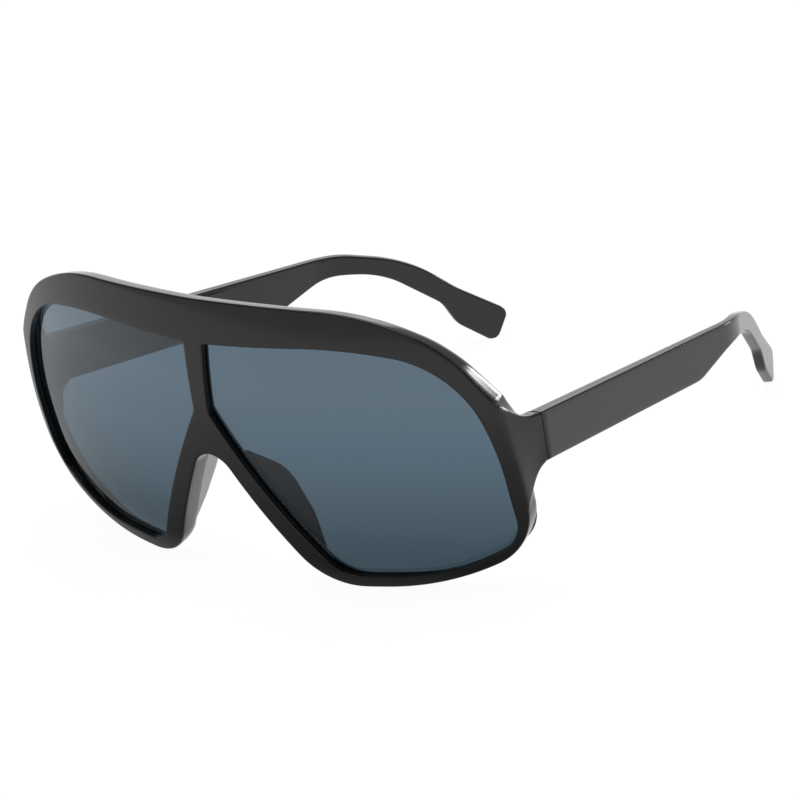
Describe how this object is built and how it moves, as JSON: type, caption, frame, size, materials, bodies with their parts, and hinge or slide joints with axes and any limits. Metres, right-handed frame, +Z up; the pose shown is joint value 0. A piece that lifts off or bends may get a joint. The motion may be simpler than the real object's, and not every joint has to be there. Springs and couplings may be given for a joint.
{
  "type": "sunglasses",
  "caption": "Oversized sunglasses: a thick curved black front with a wide brow and recessed grey lenses, hinged to flat temples that bend in and down behind the ears.",
  "frame": {"origin": "on the table, below the middle of the whole object, as it stands with its temples open on its rims and temple tips", "axes": "+Z up from the table, the front faces -Y, +X is the wearer's left, temples point to +Y"},
  "size_m": [0.1418, 0.1567, 0.068],
  "materials": {
    "frame_plastic": "polished black moulding",
    "lens_tint": "clear grey tint, polished",
    "pad_plastic": "polished black moulding",
    "hinge_metal": "black plated metal",
    "screw_steel": "black plated metal"
  },
  "bodies": {
    "front_body": {"front_frame": "frame_plastic", "lens_left": "lens_tint", "nose_pad_left": "pad_plastic", "hinge_front_leaf_left": "hinge_metal", "hinge_screw_left": "screw_steel", "front_leaf_screws_left": "screw_steel", "lens_right": "lens_tint", "nose_pad_right": "pad_plastic", "hinge_front_leaf_right": "hinge_metal", "hinge_screw_right": "screw_steel", "front_leaf_screws_right": "screw_steel"},
    "temple_body_left": {"temple_left": "frame_plastic", "hinge_temple_leaf_left": "hinge_metal", "temple_leaf_screws_left": "screw_steel"},
    "temple_body_right": {"temple_right": "frame_plastic", "hinge_temple_leaf_right": "hinge_metal", "temple_leaf_screws_right": "screw_steel"}
  },
  "joints": [
    {"name": "temple_fold_left", "type": "hinge", "parent": "front_body", "child": "temple_body_left", "pos_m": [0.0664, -0.04704, 0.03477], "axis": [0, -0.0531, 0.9986], "range_deg": [0, 80]},
    {"name": "temple_fold_right", "type": "hinge", "parent": "front_body", "child": "temple_body_right", "pos_m": [-0.0664, -0.04704, 0.03477], "axis": [0, 0.0531, -0.9986], "range_deg": [0, 70]}
  ]
}
